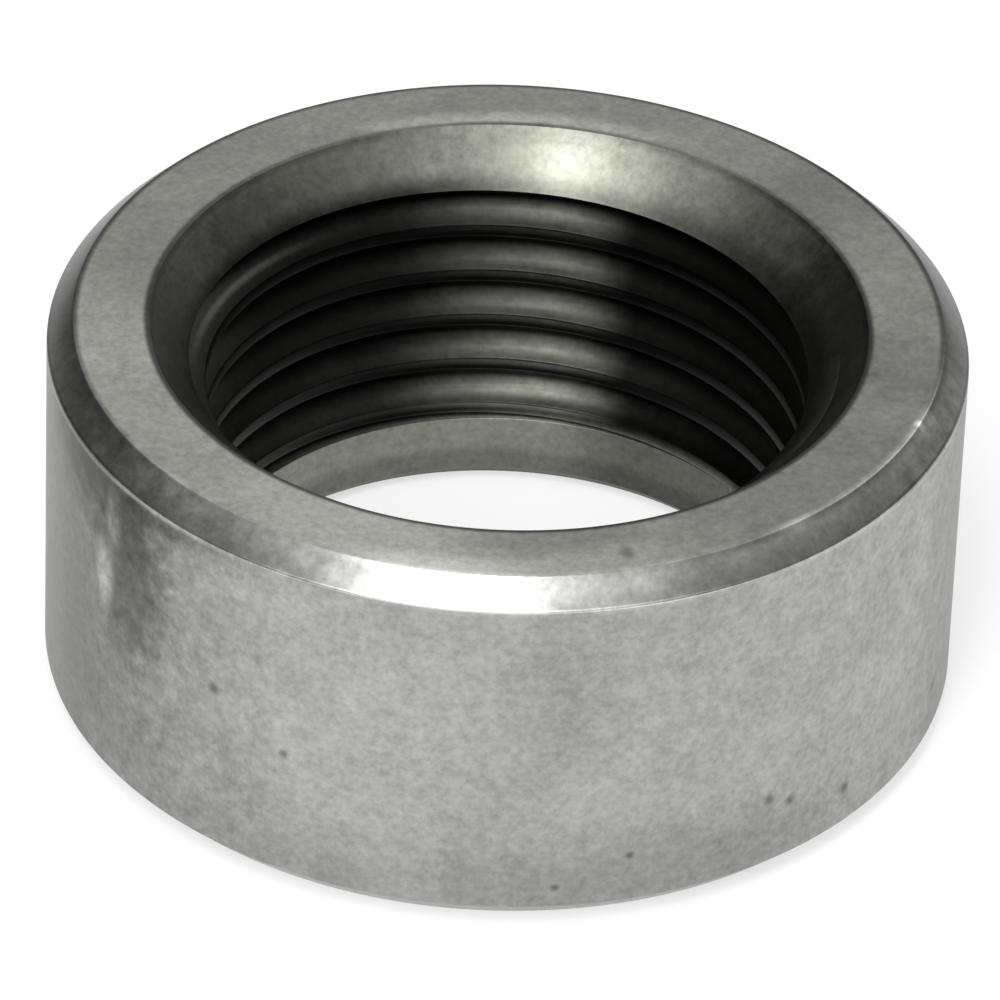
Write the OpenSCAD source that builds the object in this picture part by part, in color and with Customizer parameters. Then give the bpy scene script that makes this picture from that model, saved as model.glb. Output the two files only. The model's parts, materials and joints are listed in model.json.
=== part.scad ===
// Weld-in bung for an exhaust oxygen sensor: a thick turned steel ring with a countersunk bore.
// The ring stands on its bottom face, centred on the origin, with its bore along Z.
// The bore is drawn at the thread's minor diameter, as it is before the thread is cut.

/* [Ring] */
// Outside diameter of the ring
outer_d = 25; // [23.5:0.5:40]
// Height of the ring along its bore
height = 11; // [6:0.5:25]

/* [Sensor thread] */
// Nominal diameter of the thread
thread_d = 18; // [10:1:19]
// Pitch of the thread
thread_pitch = 1.5; // [0.75:0.25:2]

/* [Edges] */
// Chamfer round the top of the outer wall
top_chamfer = 0.7; // [0.2:0.05:1.5]
// Chamfer round the bottom of the outer wall
bottom_chamfer = 0.65; // [0.2:0.05:1.5]
// How far the countersink's mouth reaches outside the thread, on each side
countersink_margin = 0.75; // [0.2:0.05:1.5]
// Included angle of the countersink
countersink_angle = 90; // [60:5:120]
// Chamfer round the bottom of the bore
bore_chamfer = 0.4; // [0.1:0.05:1.5]

/* [Hidden] */
$fn = 128;
bare_steel = [0.62, 0.62, 0.60];

outer_r = outer_d / 2;
sharp_v_height = thread_pitch * sqrt(3) / 2;
thread_depth = 5 / 8 * sharp_v_height;
bore_r = thread_d / 2 - thread_depth;
countersink_r = thread_d / 2 + countersink_margin;
countersink_depth = (countersink_r - bore_r) / tan(countersink_angle / 2);

// Half section of the ring, from the bore's lower edge round the outer wall and down the countersink
section = [
    [bore_r + bore_chamfer, 0],
    [outer_r - bottom_chamfer, 0],
    [outer_r, bottom_chamfer],
    [outer_r, height - top_chamfer],
    [outer_r - top_chamfer, height],
    [countersink_r, height],
    [bore_r, height - countersink_depth],
    [bore_r, bore_chamfer]
];

module bung() {
    color(bare_steel)
        rotate_extrude()
            polygon(section);
}

bung();
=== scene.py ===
"""Oxygen sensor bung: a thick turned ring of bare steel with a countersunk, threaded bore."""

import json
import math

import bpy
from mathutils import Matrix, Vector


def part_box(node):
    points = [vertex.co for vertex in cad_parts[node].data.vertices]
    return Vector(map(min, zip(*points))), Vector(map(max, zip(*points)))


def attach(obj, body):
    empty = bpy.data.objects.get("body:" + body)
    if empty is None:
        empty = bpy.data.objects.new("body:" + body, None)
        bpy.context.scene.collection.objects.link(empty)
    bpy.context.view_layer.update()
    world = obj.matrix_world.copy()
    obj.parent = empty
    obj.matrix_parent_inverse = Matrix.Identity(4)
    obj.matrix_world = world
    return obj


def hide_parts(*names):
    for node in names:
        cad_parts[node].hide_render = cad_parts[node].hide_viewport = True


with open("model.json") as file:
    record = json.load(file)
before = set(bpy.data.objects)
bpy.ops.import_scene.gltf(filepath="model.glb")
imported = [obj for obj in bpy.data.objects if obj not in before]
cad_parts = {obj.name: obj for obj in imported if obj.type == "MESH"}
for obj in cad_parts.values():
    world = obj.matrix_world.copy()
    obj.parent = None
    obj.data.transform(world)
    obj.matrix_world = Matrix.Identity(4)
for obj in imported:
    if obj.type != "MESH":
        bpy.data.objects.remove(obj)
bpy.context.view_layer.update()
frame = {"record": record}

# All sizes are in millimetres until the finished mesh is brought to metres
MM = 0.001
mounts = {mount["name"]: mount for mount in frame["record"]["mounts"]}

# Sizes that the frame gives
ring_low, ring_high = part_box("bung")
HEIGHT = (ring_high.z - ring_low.z) / MM
OUTER_R = mounts["outer_wall"]["dims"]["r_mm"]
BORE_R = mounts["sensor_thread"]["dims"]["r_mm"]

# Edges of the ring, as on the solid, and how far their corners are softened
TOP_CHAMFER = 0.7
BOTTOM_CHAMFER = 0.65
BORE_CHAMFER = 0.4
COUNTERSINK_R = 9.75
COUNTERSINK = COUNTERSINK_R - BORE_R
EDGE_ROUNDING = 0.04
MOUTH_ROUNDING = 0.03

# The thread: a sixty-degree groove that climbs to the right, cut from the countersink down
PITCH = 1.5
MAJOR_R = 9.0
FLANK_SLOPE = math.tan(math.radians(30))
ROOT_HALF_WIDTH = PITCH / 16
CREST_ROUNDING = 0.05
CREST_TURN = math.radians(60)
CREST_LAST_TURN = math.radians(12)
CREST_POINTS = 4
TAP_OVERREACH = 0.06
GROOVE_TOP_AT_BACK = 8.28
TURNS_BELOW = 5
TURNS = 8
LEAD_START = 2.08
LEAD_ANGLE = math.radians(55)

# Steps round the ring and round each turn of the thread
# The cuts are turned by parts of a step, so that no corners meet
RING_STEPS = 240
THREAD_STEPS = 240
HALF_STEP = math.pi / RING_STEPS
MERGE_DISTANCE = 0.002
SMOOTH_BELOW = math.radians(35)

# Places on the ring are given by azimuth in degrees: 0 at the camera's side, growing to the camera's left
# A change of tone of -0.3 makes the steel 30 per cent darker there, and 0.3 makes it 30 per cent lighter

# Middles of the faces that carry marks, and the half height of their marks, which covers a face's whole width
TOP_MIDDLE_R = 10.8
CHAMFER_MIDDLE_Z = 10.65
SINK_MIDDLE_R = 9.0
SINK_MIDDLE_Z = 10.0
FACE_MARK_TALL = 3.0
PIT_CHANGE = -0.55

# Painted shade and painted highlights on the wall, with a darker patch and two bright streaks on its left:
# azimuth, height, half width, half height, change of tone
WALL_SHADE_AND_HIGHLIGHTS = [
    (59, 10.4, 4.6, 3.0, -0.70),
    (42, 10.4, 2.8, 1.3, -0.36),
    (52, 8.0, 2.2, 4.3, -0.54),
    (55.4, 9.1, 0.55, 1.4, 1.70),
    (57.4, 7.0, 0.65, 1.6, 1.50),
    (62, 0.8, 5.0, 2.2, 0.25),
    (16, 6.0, 5.0, 6.0, 0.12),
    (-6, 7.2, 1.6, 3.5, -0.10),
    (-22, 1.6, 6.5, 2.0, -0.15),
    (-85, 5.0, 5.0, 30.0, -0.22),
]

# Pits in the wall: azimuth, height, size
PITS = [
    (36.5, 5.69, 0.28),
    (26.2, 4.47, 0.22),
    (-8.2, 1.25, 0.20),
    (-17.5, 2.1, 0.20),
    (-36.5, 2.7, 0.25),
    (-39.7, 2.4, 0.22),
    (-49.5, 1.79, 0.28),
    (-72.5, 2.1, 0.32),
]

# Painted shade and painted highlights on the top face and the chamfer: azimuth, half width, change of tone
TOP_SHADE_AND_HIGHLIGHTS = [
    (98, 2.6, -0.12),
    (58, 4.0, -0.10),
    (18, 4.5, 0.16),
    (-50, 7.0, -0.16),
    (-82, 2.4, -0.20),
    (-128, 3.2, -0.22),
]
CHAMFER_SHADE_AND_HIGHLIGHTS = [
    (50, 2.5, 0.20),
    (32, 2.8, -0.18),
    (21, 1.6, -0.22),
    (-10, 1.6, -0.10),
    (-31, 2.4, -0.15),
    (-62, 5.0, 0.42),
]

# Painted glints on the chamfer's upper edge: azimuth, half width, change of tone
EDGE_GLINTS = [
    (-41, 0.9, 0.8),
    (-69.5, 0.25, 1.4),
]

# Painted shade and painted highlights on the countersink: azimuth, half width, change of tone
SINK_SHADE_AND_HIGHLIGHTS = [
    (100, 4.0, -0.15),
    (125, 3.0, -0.30),
    (176, 2.2, -0.26),
    (-163, 2.4, 0.30),
    (-149, 2.2, 0.38),
    (-100, 5.5, -0.58),
]

# The steel: its colours where it is clean and oily, how pale and how dull it is, and its fine relief
CLEAN_STEEL = (0.84, 0.835, 0.805, 1)
OILED_STEEL = (0.84, 0.86, 0.735, 1)
BLACK = (0, 0, 0, 1)
PALENESS = 0.46
DULLNESS = 0.38
RELIEF_STRENGTH = 0.2
RELIEF_DEPTH = 0.00004

# The floor: its width, how far below the ring it lies, in metres, and its colour
FLOOR_WIDTH = 8
FLOOR_GAP = 0.00005
FLOOR_COLOUR = (0.97, 0.97, 0.97, 1)

# The camera: a long lens, found from the thread and the edges in view
CAMERA_ELEVATION = 35.27
CAMERA_ROLL = 2.22
CAMERA_DISTANCE = 260
VIEW_RIGHT = 0.058
VIEW_UP = 0.364
SENSOR = 36
LENS = 341.7

# The main light, in degrees and metres, the room's own light and how white the floor is seen
KEY_AZIMUTH = 16.4
KEY_ELEVATION = 51.0
KEY_HALF_WIDTH = 7.2
KEY_HALF_HEIGHT = 22
KEY_DISTANCE = 2.0
KEY_RADIANCE = 12.5
ROOM_LEVEL = 0.12
BACKDROP_WHITE = 0.65

# Pale cards in the room: azimuth, elevation, angle where a card starts to fade, where it ends, brightness
CARDS = [
    (0, 90, 25, 65, 0.60),
    (190, 35, 18, 50, 0.60),
    (-12, 54, 8, 26, 0.60),
    (50, 48, 10, 30, 0.20),
    (222, 32, 4, 14, 1.50),
    (0, 12, 15, 45, 0.60),
]


def deselect_all():
    if bpy.context.object and bpy.context.object.mode != "OBJECT":
        bpy.ops.object.mode_set(mode="OBJECT")
    bpy.ops.object.select_all(action="DESELECT")


def half_section(name, r_low, r_high, z_low, z_high):
    """A rectangle in the plane through the ring's axis, on the +X side."""
    deselect_all()
    middle = ((r_low + r_high) / 2, 0, (z_low + z_high) / 2)
    bpy.ops.mesh.primitive_plane_add(size=1, location=middle, rotation=(math.pi / 2, 0, 0))
    section = bpy.context.object
    section.name = name
    section.scale = (r_high - r_low, z_high - z_low, 1)
    bpy.ops.object.transform_apply(location=True, rotation=True, scale=True)
    return section


def select_near(piece, places, reach=0.01):
    """Selects the vertices that lie at the given (radius, height) places of a half section."""
    bpy.ops.object.mode_set(mode="OBJECT")
    for part in (piece.data.vertices, piece.data.edges, piece.data.polygons):
        for element in part:
            element.select = False
    for vertex in piece.data.vertices:
        vertex.select = any(math.hypot(vertex.co.x - r, vertex.co.z - z) < reach for r, z in places)
    bpy.ops.object.mode_set(mode="EDIT")
    bpy.ops.mesh.select_mode(type="VERT")


def bevel_corners(piece, places, size, segments=1):
    select_near(piece, places)
    bpy.ops.mesh.bevel(offset=size, offset_type="OFFSET", segments=segments, affect="VERTICES")


def apply_modifiers(piece):
    bpy.ops.object.mode_set(mode="OBJECT")
    deselect_all()
    piece.select_set(True)
    bpy.context.view_layer.objects.active = piece
    for modifier in list(piece.modifiers):
        bpy.ops.object.modifier_apply(modifier=modifier.name)


def turned_blank():
    """The ring before its thread is cut: its half section, with chamfered and soft corners, spun round."""
    blank = half_section("bung_steel", BORE_R, OUTER_R, 0, HEIGHT)
    bevel_corners(blank, [(OUTER_R, HEIGHT)], TOP_CHAMFER)
    bevel_corners(blank, [(OUTER_R, 0)], BOTTOM_CHAMFER)
    bevel_corners(blank, [(BORE_R, 0)], BORE_CHAMFER)
    bevel_corners(blank, [(BORE_R, HEIGHT)], COUNTERSINK)
    soft_corners = [
        (OUTER_R, HEIGHT - TOP_CHAMFER),
        (OUTER_R - TOP_CHAMFER, HEIGHT),
        (OUTER_R, BOTTOM_CHAMFER),
        (OUTER_R - BOTTOM_CHAMFER, 0),
    ]
    bevel_corners(blank, soft_corners, EDGE_ROUNDING, segments=3)
    bevel_corners(blank, [(COUNTERSINK_R, HEIGHT)], MOUTH_ROUNDING, segments=4)
    bpy.ops.mesh.select_all(action="SELECT")
    bpy.ops.mesh.delete(type="ONLY_FACE")
    bpy.ops.mesh.select_all(action="SELECT")
    bpy.ops.mesh.spin(steps=RING_STEPS, angle=2 * math.pi, center=(0, 0, 0), axis=(0, 0, 1))
    bpy.ops.mesh.select_all(action="SELECT")
    bpy.ops.mesh.remove_doubles(threshold=0.0005)
    bpy.ops.mesh.normals_make_consistent(inside=False)
    bpy.ops.object.mode_set(mode="OBJECT")
    return blank


def groove_half_width(radius):
    """Half the groove's width along the axis, on its straight flanks."""
    return ROOT_HALF_WIDTH + (MAJOR_R - radius) * FLANK_SLOPE


# Height of the lowest turn's middle, where the helix crosses the +X side
FIRST_TURN = GROOVE_TOP_AT_BACK - groove_half_width(BORE_R) - PITCH / 4 - TURNS_BELOW * PITCH


def groove_outline():
    """(radius, half width) along one side of the groove: its root, then round the crest into the bore."""
    crest_middle_r = BORE_R + CREST_ROUNDING
    flank_end_r = crest_middle_r - CREST_ROUNDING * math.cos(CREST_TURN)
    crest_half_width = groove_half_width(flank_end_r) + CREST_ROUNDING * math.sin(CREST_TURN)
    outline = [(MAJOR_R, ROOT_HALF_WIDTH)]
    for step in range(CREST_POINTS):
        turn = CREST_TURN + (CREST_LAST_TURN - CREST_TURN) * step / (CREST_POINTS - 1)
        radius = crest_middle_r - CREST_ROUNDING * math.cos(turn)
        outline.append((radius, crest_half_width - CREST_ROUNDING * math.sin(turn)))
    outline.append((BORE_R - TAP_OVERREACH, outline[-1][1]))
    return outline


def groove_section():
    """The groove's outline in the plane through the axis, drawn inwards from the root edge by edge."""
    (edge_r, edge_half), *rest = groove_outline()
    section = half_section("thread_tap", edge_r, edge_r + PITCH, -edge_half, edge_half)
    select_near(section, [(edge_r + PITCH, -edge_half), (edge_r + PITCH, edge_half)])
    bpy.ops.mesh.delete(type="VERT")
    bpy.ops.mesh.select_all(action="SELECT")
    for radius, half_width in rest:
        bpy.ops.mesh.extrude_edges_move(TRANSFORM_OT_translate={"value": (radius - edge_r, 0, 0)})
        bpy.ops.transform.resize(value=(1, 1, half_width / edge_half), center_override=(radius, 0, 0))
        edge_r, edge_half = radius, half_width
    bpy.ops.mesh.select_mode(type="FACE")
    bpy.ops.mesh.select_all(action="SELECT")
    bpy.ops.mesh.dissolve_faces()
    bpy.ops.mesh.select_all(action="SELECT")
    bpy.ops.mesh.delete(type="ONLY_FACE")
    bpy.ops.object.mode_set(mode="OBJECT")
    return section


def cut(piece, tool, operation="DIFFERENCE"):
    """Cuts a piece with a tool, which is then put away."""
    boolean = piece.modifiers.new("cut", "BOOLEAN")
    boolean.operation = operation
    boolean.solver = "EXACT"
    boolean.object = tool
    apply_modifiers(piece)
    bpy.data.objects.remove(tool)


def lead_cone():
    """The tap's tapered nose: the thread is full inside it and ends where it meets the bore."""
    low = LEAD_START - 0.5 * PITCH
    high = 1.3 * HEIGHT
    deselect_all()
    bpy.ops.mesh.primitive_cone_add(
        vertices=RING_STEPS,
        radius1=BORE_R + (low - LEAD_START) * math.tan(LEAD_ANGLE),
        radius2=BORE_R + (high - LEAD_START) * math.tan(LEAD_ANGLE),
        depth=high - low,
        location=(0, 0, (low + high) / 2),
        rotation=(0, 0, HALF_STEP / 2),
    )
    bpy.ops.object.transform_apply(location=True, rotation=True, scale=True)
    return bpy.context.object


def thread_tap():
    """The tool that cuts the thread: a helical ridge, tapered where the groove runs out at the bottom."""
    tap = groove_section()
    tap.location.z = FIRST_TURN
    tap.rotation_euler.z = HALF_STEP
    deselect_all()
    tap.select_set(True)
    bpy.context.view_layer.objects.active = tap
    bpy.ops.object.transform_apply(location=True, rotation=True, scale=True)
    screw = tap.modifiers.new("helix", "SCREW")
    screw.axis = "Z"
    screw.angle = 2 * math.pi
    screw.screw_offset = PITCH
    screw.iterations = TURNS
    screw.steps = THREAD_STEPS
    screw.render_steps = THREAD_STEPS
    apply_modifiers(tap)
    bpy.ops.object.mode_set(mode="EDIT")
    bpy.ops.mesh.select_mode(type="EDGE")
    bpy.ops.mesh.select_all(action="SELECT")
    bpy.ops.mesh.fill_holes(sides=4 * CREST_POINTS)
    bpy.ops.mesh.select_all(action="SELECT")
    bpy.ops.mesh.normals_make_consistent(inside=False)
    bpy.ops.object.mode_set(mode="OBJECT")
    cut(tap, lead_cone(), "INTERSECT")
    return tap


def finish_mesh(piece):
    """Closes what the cuts left, brings the piece to metres and smooths all but its sharp edges."""
    bpy.ops.object.mode_set(mode="EDIT")
    bpy.ops.mesh.select_mode(type="VERT")
    bpy.ops.mesh.select_all(action="SELECT")
    bpy.ops.mesh.remove_doubles(threshold=MERGE_DISTANCE)
    bpy.ops.mesh.select_all(action="SELECT")
    bpy.ops.mesh.dissolve_degenerate(threshold=MERGE_DISTANCE)
    bpy.ops.mesh.select_all(action="SELECT")
    bpy.ops.mesh.fill_holes(sides=8)
    bpy.ops.mesh.select_all(action="SELECT")
    bpy.ops.mesh.normals_make_consistent(inside=False)
    bpy.ops.object.mode_set(mode="OBJECT")
    piece.scale = (MM, MM, MM)
    bpy.ops.object.transform_apply(location=True, rotation=True, scale=True)
    bpy.ops.object.shade_smooth_by_angle(angle=SMOOTH_BELOW)
    weighted = piece.modifiers.new("flat_faces_stay_flat", "WEIGHTED_NORMAL")
    weighted.keep_sharp = True
    apply_modifiers(piece)


class Value:
    """A socket of a node tree that takes part in Python arithmetic; each operation adds a Math node."""

    def __init__(self, nodes, socket):
        self.nodes = nodes
        self.socket = socket

    def math(self, operation, *others):
        return self.nodes.add("Math", dict(enumerate((self, *others))), operation=operation)

    def __add__(self, other):
        return self.math("ADD", other)

    def __sub__(self, other):
        return self.math("SUBTRACT", other)

    def __mul__(self, other):
        return self.math("MULTIPLY", other)

    def __truediv__(self, other):
        return self.math("DIVIDE", other)

    def __pow__(self, other):
        return self.math("POWER", other)

    def __rsub__(self, other):
        return self.nodes.add("Math", {0: other, 1: self}, operation="SUBTRACT")

    __radd__ = __add__
    __rmul__ = __mul__

    def at_least(self, other):
        return self.math("MAXIMUM", other)

    def smooth(self, start, end):
        """0 at start, 1 at end, and a soft step between; start may be the greater."""
        sockets = {"Value": self, "From Min": start, "From Max": end}
        return self.nodes.add("MapRange", sockets, interpolation_type="SMOOTHSTEP")


class Nodes:
    """A node tree, with one method that adds any node."""

    def __init__(self, tree):
        self.tree = tree

    def add(self, kind, sockets=None, output=0, **settings):
        node = self.tree.nodes.new("ShaderNode" + kind)
        for name, setting in settings.items():
            setattr(node, name, setting)
        for name, value in (sockets or {}).items():
            if isinstance(value, Value):
                self.tree.links.new(value.socket, node.inputs[name])
            else:
                node.inputs[name].default_value = value
        return Value(self, node.outputs[output])

    def axes(self, vector):
        """The x, y and z of a vector."""
        split = self.add("SeparateXYZ", {"Vector": vector}).socket.node
        return [Value(self, output) for output in split.outputs]

    def noise(self, place, scale, detail, rough):
        """Noise about 0, with the given number of lumps to a millimetre."""
        sockets = {"Vector": place, "Scale": scale, "Detail": detail, "Roughness": rough}
        return self.add("TexNoise", sockets) - 0.5

    def mix(self, share, first, second):
        """A mix of two colours."""
        return self.add("Mix", {0: share, 6: first, 7: second}, output=2, data_type="RGBA")


class Faces:
    """Masks of the ring's faces, 1 on a face and 0 off it, from each point's place on the ring."""

    def __init__(self, nodes):
        self.nodes = nodes
        metres = nodes.add("TexCoord", output="Object")
        self.place = nodes.add("VectorMath", {0: metres, "Scale": 1 / MM}, operation="SCALE")
        x, y, z = nodes.axes(self.place)
        r = (x * x + y * y) ** 0.5
        self.x, self.y, self.z, self.r = x, y, z, r
        self.side = x / r
        self.mottling = nodes.noise(self.place, 1.9, 4.0, 0.6)
        self.raggedness = self.mottling * 0.5

        # Each mask fades in over a fraction of a millimetre, just off its face
        chamfer_line = OUTER_R + HEIGHT - TOP_CHAMFER
        sink_line = HEIGHT - COUNTERSINK_R
        self.chamfer = (r + z).smooth(chamfer_line - 0.20, chamfer_line - 0.03)
        self.top = z.smooth(HEIGHT - 0.20, HEIGHT - 0.02)
        self.sink = (z - r).smooth(sink_line - 0.20, sink_line - 0.03)
        self.wall = r.smooth(OUTER_R - 0.3, OUTER_R - 0.05) * (1 - self.chamfer)
        self.bore = r.smooth(MAJOR_R + 0.30, MAJOR_R + 0.15) * (1 - self.sink)
        self.thread = self.bore * z.smooth(LEAD_START - 0.1, LEAD_START + 0.4)

    def spot(self, azimuth, radius, height, width, tall, core=0.25):
        """1 at a place, fading to 0 at its half width and half height, with a ragged edge."""
        turn = math.radians(azimuth)
        sockets = {
            "Vector": self.place,
            "Location": (-radius * math.sin(turn), -radius * math.cos(turn), height),
            "Rotation": (0, 0, math.pi - turn),
            "Scale": (width, 2 * max(width, tall), tall),
        }
        away = self.nodes.add("Mapping", sockets, vector_type="TEXTURE")
        distance = self.nodes.add("VectorMath", {0: away}, output="Value", operation="LENGTH")
        return (distance + self.raggedness).smooth(1.0, core)


def outside_marks(faces):
    """(mask, change of tone) of the marks on the wall, the chamfer and the top face: painted shade, painted
    highlights and pits.
    """
    y, z, r = faces.y, faces.z, faces.r
    left_shade = faces.spot(80, OUTER_R, HEIGHT / 2, 10.5, 30.0)
    chamfer_foot = HEIGHT - TOP_CHAMFER
    # Two masks of the chamfer's lower edge: the edge with a little of the wall, and its rounding alone
    lower_edge = r.smooth(OUTER_R - 0.10, OUTER_R - 0.04) * z.smooth(chamfer_foot - 0.16, chamfer_foot - 0.05)
    corner = r.smooth(OUTER_R - 0.06, OUTER_R - 0.03) * z.smooth(chamfer_foot - 0.05, chamfer_foot - 0.02)
    far_half = (faces.x * 0.6 + y * 0.8).smooth(-8.0, -3.0)
    chamfer_sides = y.smooth(-3.5, 0.5)
    front_inside = faces.spot(-6, TOP_MIDDLE_R, HEIGHT, 3.6, FACE_MARK_TALL)
    front_outside = faces.spot(8, TOP_MIDDLE_R, HEIGHT, 3.4, FACE_MARK_TALL)
    marks = [
        # Painted shade: the wall and the chamfer darker on the left side, and the wall darker towards the
        # floor
        (left_shade * faces.wall.at_least(faces.chamfer), -0.56),
        (faces.wall * z.smooth(3.6, 0.8), -0.13),
        # Painted shade on the top face: darker overall, on its far half and near the bore at the front;
        # painted highlights towards its outer edge at the front and along the countersink at the back
        (faces.top, -0.09),
        (faces.top * far_half, -0.28),
        (faces.top * r.smooth(11.3, 10.4) * front_inside, -0.28),
        (faces.top * r.smooth(10.9, 11.6) * front_outside, 0.45),
        (faces.top * r.smooth(10.6, 10.0) * y.smooth(8.8, 9.8), 0.60),
        # A dark pit on the top face
        (faces.spot(-17.5, 11.07, HEIGHT, 0.3, 0.3, 0.0), -0.45),
        # Painted highlight on the chamfer's front, painted shade on its sides, its back and its lower edge,
        # and a painted highlight on its lower corner at the front
        (faces.chamfer * (1 - chamfer_sides), 0.20),
        (faces.chamfer * chamfer_sides, -0.50),
        (faces.chamfer * y.smooth(1.5, 5.0), -0.40),
        (lower_edge * y.smooth(-9.5, -6.0), -0.45),
        (corner * y.smooth(-9.8, -11.8), 0.80),
    ]
    # Painted shade and painted highlights from the lists above, and the pits
    for azimuth, height, width, tall, change in WALL_SHADE_AND_HIGHLIGHTS:
        marks.append((faces.wall * faces.spot(azimuth, OUTER_R, height, width, tall), change))
    for azimuth, height, size in PITS:
        marks.append((faces.spot(azimuth, OUTER_R, height, size, size, 0.0), PIT_CHANGE))
    for azimuth, width, change in TOP_SHADE_AND_HIGHLIGHTS:
        marks.append((faces.top * faces.spot(azimuth, TOP_MIDDLE_R, HEIGHT, width, FACE_MARK_TALL), change))
    for azimuth, width, change in CHAMFER_SHADE_AND_HIGHLIGHTS:
        worn = faces.spot(azimuth, OUTER_R, CHAMFER_MIDDLE_Z, width, FACE_MARK_TALL)
        marks.append((faces.chamfer * worn, change))
    # Painted glints along the chamfer's upper edge
    for azimuth, width, change in EDGE_GLINTS:
        glint = faces.spot(azimuth, OUTER_R - TOP_CHAMFER, HEIGHT, width, 0.25, 0.0)
        marks.append((glint * r.smooth(11.55, 11.75), change))
    return marks


def sink_marks(faces):
    """(mask, change of tone) on the countersink: darker overall with oil and painted shade, painted shade on
    its sides, its low part and above its highlight, and painted highlights near the back.
    """
    x, y, r = faces.x, faces.y, faces.r
    sides = ((y * 0.99 + x * 0.14) / r).smooth(0.6, -0.2)
    left = faces.side.smooth(0.0, -0.4)
    low_part = faces.sink * r.smooth(8.95, 8.40)
    above_highlight = faces.spot(186, SINK_MIDDLE_R, SINK_MIDDLE_Z, 2.5, FACE_MARK_TALL)
    # Darker overall with oil and painted shade; painted shade on the sides, towards the bore and above the
    # highlight
    marks = [
        (faces.sink, -0.55),
        (faces.sink * sides, -0.66),
        (low_part, -0.52),
        (low_part * left, -0.60),
        (faces.sink * r.smooth(9.25, 9.60) * above_highlight, -0.25),
    ]
    for azimuth, width, change in SINK_SHADE_AND_HIGHLIGHTS:
        place = faces.spot(azimuth, SINK_MIDDLE_R, SINK_MIDDLE_Z, width, FACE_MARK_TALL)
        marks.append((faces.sink * place, change))
    return marks


def bore_marks(faces):
    """(mask, change of tone) in the thread and the plain bore below it: darker overall with oil and painted
    shade, painted shade in the grooves, at the sides, the top and the bottom, and painted highlights on the
    lower turns and the first ridge.
    """
    x, y, z, r = faces.x, faces.y, faces.z, faces.r
    bore, thread = faces.bore, faces.thread
    right = faces.side.smooth(0.12, 0.42)
    left = faces.side.smooth(0.20, -0.45)
    sides = left.at_least(right)
    runout = r.smooth(BORE_R + 0.002, BORE_R + 0.015) * z.smooth(LEAD_START + 0.9, LEAD_START + 0.5)

    # Across the thread: 0 at a groove's middle, one half at a crest's, then the flank that faces up
    turn = y.math("ARCTAN2", x) / (2 * math.pi)
    across = ((z - FIRST_TURN) / PITCH - turn).math("FRACT")
    up_flank = across.smooth(0.57, 0.60)
    low_flank = up_flank * across.smooth(0.88, 0.65)
    # Painted shade on the crest and the flank below it
    crest_shade = across.smooth(0.70, 0.42) * (0.7 + 0.3 * across.smooth(0.30, 0.36))
    root = across.smooth(0.87, 0.95)
    first_ridge = across.smooth(0.70, 0.75) * across.smooth(0.81, 0.76)
    # Painted shade on the crests, the lower flanks, the roots, the sides, the top turns and the run-out;
    # painted light on the lower turns and a painted highlight along the first ridge on the left
    return [
        (bore, -0.38),
        (bore * z.smooth(1.3, 0.8), -0.35),
        (bore * runout, -0.70),
        (bore * (1 - thread) * right, -0.50),
        (thread, 0.45),
        (thread * (1 - up_flank), -0.50),
        (thread * crest_shade, -0.99),
        (thread * low_flank * (1 - sides * 0.3), -0.90),
        (thread * root, -0.95),
        (thread * z.smooth(6.5, 8.5), -0.30),
        (thread * z.smooth(5.4, 2.4), 1.10),
        (thread * right, -0.95),
        (thread * left, -0.87),
        (thread * first_ridge * faces.spot(116, 8.6, 9.0, 4.5, 1.2), 2.6),
    ]


def bare_steel():
    """Dull turned steel: mottled grey outside, darker with oil and painted shade in the countersink and
    thread, a few pits, and painted shade and highlights in its tone.
    """
    material = bpy.data.materials.new("bare_steel")
    material.use_nodes = True
    tree = material.node_tree
    shader = tree.nodes["Principled BSDF"]
    nodes = Nodes(tree)
    faces = Faces(nodes)

    patches = nodes.noise(faces.place, 0.45, 3.0, 0.55)
    grain = nodes.noise(faces.place, 5.0, 2.5, 0.6)
    rings = nodes.add("CombineXYZ", {"X": faces.r * 7.0, "Z": faces.z * 7.0})
    turning = nodes.noise(rings, 1.0, 3.0, 0.6)

    tone = 1 + patches * 0.42 + faces.mottling * 0.55 + grain * 0.70 + turning * 0.12
    # The marks paint shade and highlights into the tone, besides the pits
    for mask, change in outside_marks(faces) + sink_marks(faces) + bore_marks(faces):
        tone = tone * mask.math("MULTIPLY_ADD", change, 1)
    oily = faces.sink.at_least(faces.bore).at_least(faces.top * 0.5)
    colour = nodes.mix(tone * PALENESS, BLACK, nodes.mix(oily, CLEAN_STEEL, OILED_STEEL))
    roughness = DULLNESS + patches * 0.10 + faces.mottling * 0.12 - faces.chamfer * 0.07 + faces.bore * 0.06

    relief = (faces.mottling * 0.6 + grain * 0.25 + turning * 0.4) * (1 - faces.chamfer * 0.7)
    sockets = {"Strength": RELIEF_STRENGTH, "Distance": RELIEF_DEPTH, "Height": relief}
    bump = nodes.add("Bump", sockets)

    shader.inputs["Metallic"].default_value = 1.0
    tree.links.new(colour.socket, shader.inputs["Base Color"])
    tree.links.new(roughness.socket, shader.inputs["Roughness"])
    tree.links.new(bump.socket, shader.inputs["Normal"])
    return material


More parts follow.
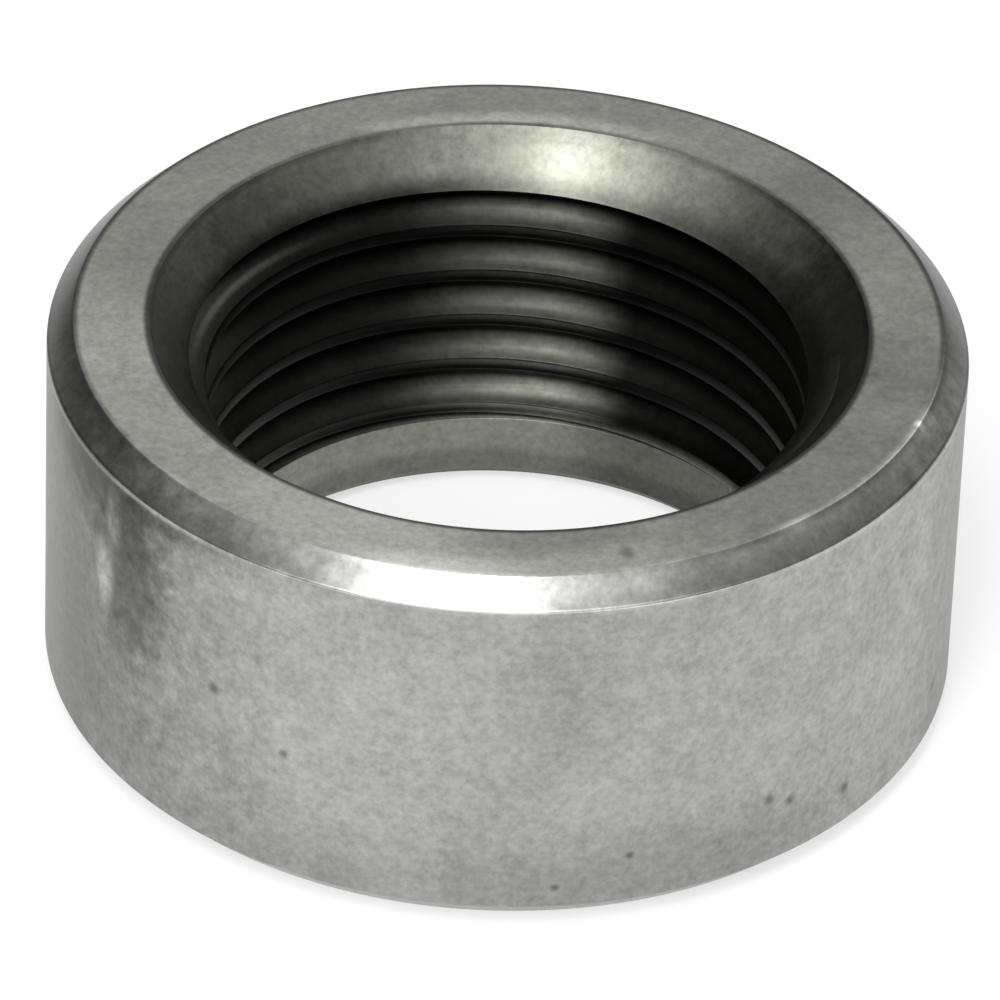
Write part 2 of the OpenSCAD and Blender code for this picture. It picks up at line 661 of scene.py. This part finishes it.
def pale_floor():
    """A wide, matt, nearly white floor just under the ring."""
    deselect_all()
    bpy.ops.mesh.primitive_plane_add(size=FLOOR_WIDTH, location=(0, 0, -FLOOR_GAP))
    floor = bpy.context.object
    floor.name = "floor"
    material = bpy.data.materials.new("pale_floor")
    material.use_nodes = True
    tree = material.node_tree
    shader = tree.nodes["Principled BSDF"]
    shader.inputs["Base Color"].default_value = FLOOR_COLOUR
    shader.inputs["Roughness"].default_value = 1.0
    shader.inputs["Specular IOR Level"].default_value = 0.0
    nodes = Nodes(tree)
    camera_ray = nodes.add("LightPath", output="Is Camera Ray")
    glossy_ray = nodes.add("LightPath", output="Is Glossy Ray")
    transmission_ray = nodes.add("LightPath", output="Is Transmission Ray")
    seen = camera_ray.at_least(glossy_ray).at_least(transmission_ray)
    white = nodes.add("Emission", {"Strength": 1.0})
    lit = Value(nodes, shader.outputs["BSDF"])
    backdrop = nodes.add("MixShader", {0: seen * BACKDROP_WHITE, 1: lit, 2: white})
    tree.links.new(backdrop.socket, tree.nodes["Material Output"].inputs["Surface"])
    floor.data.materials.append(material)


def direction(azimuth, elevation):
    """A unit vector; azimuth 0 points at the camera's side and grows to its left."""
    azimuth, elevation = math.radians(azimuth), math.radians(elevation)
    across = math.cos(elevation)
    return Vector((-math.sin(azimuth) * across, -math.cos(azimuth) * across, math.sin(elevation)))


def key_softbox():
    """The main light: a tall softbox above the camera's left shoulder."""
    towards = direction(KEY_AZIMUTH, KEY_ELEVATION)
    lamp = bpy.data.lights.new("key_softbox", "AREA")
    lamp.shape = "RECTANGLE"
    lamp.size = 2 * KEY_DISTANCE * math.tan(math.radians(KEY_HALF_WIDTH))
    lamp.size_y = 2 * KEY_DISTANCE * math.tan(math.radians(KEY_HALF_HEIGHT))
    lamp.energy = KEY_RADIANCE * math.pi * lamp.size * lamp.size_y
    holder = bpy.data.objects.new("key_softbox", lamp)
    holder.location = towards * KEY_DISTANCE
    holder.rotation_euler = towards.to_track_quat("Z", "Y").to_euler()
    bpy.context.collection.objects.link(holder)


def studio_world():
    """A dim room with pale cards overhead, behind the ring and beside the softbox."""
    world = bpy.data.worlds.new("studio")
    bpy.context.scene.world = world
    world.use_nodes = True
    tree = world.node_tree
    nodes = Nodes(tree)
    way = nodes.add("TexCoord", output="Generated")
    level = ROOM_LEVEL
    for azimuth, elevation, inner, outer, brightness in CARDS:
        sockets = {0: way, 1: direction(azimuth, elevation)}
        towards = nodes.add("VectorMath", sockets, output="Value", operation="DOT_PRODUCT")
        card = towards.smooth(math.cos(math.radians(outer)), math.cos(math.radians(inner)))
        level = level + card * brightness
    background = tree.nodes["Background"]
    background.inputs["Color"].default_value = (1, 1, 1, 1)
    tree.links.new(level.socket, background.inputs["Strength"])


def photo_camera():
    """A long lens, looking down at the ring, turned a little on its axis."""
    elevation = math.radians(CAMERA_ELEVATION)
    right = Vector((1, 0, 0))
    back = Vector((0, -math.cos(elevation), math.sin(elevation)))
    up = back.cross(right)
    place = Vector((0, 0, HEIGHT / 2)) + back * CAMERA_DISTANCE - right * VIEW_RIGHT - up * VIEW_UP
    data = bpy.data.cameras.new("photo_camera")
    data.sensor_width = SENSOR
    data.lens = LENS
    camera = bpy.data.objects.new("photo_camera", data)
    axes = Matrix((right, up, back)).transposed().to_4x4()
    roll = Matrix.Rotation(math.radians(CAMERA_ROLL), 4, "Z")
    camera.matrix_world = Matrix.Translation(place * MM) @ axes @ roll
    bpy.context.collection.objects.link(camera)
    bpy.context.scene.camera = camera


photo_camera()
pale_floor()
key_softbox()
studio_world()

bung = turned_blank()
cut(bung, thread_tap())
finish_mesh(bung)
bung.data.materials.clear()
bung.data.materials.append(bare_steel())
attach(bung, "root")
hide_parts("bung")

bpy.context.scene.view_settings.view_transform = "Standard"
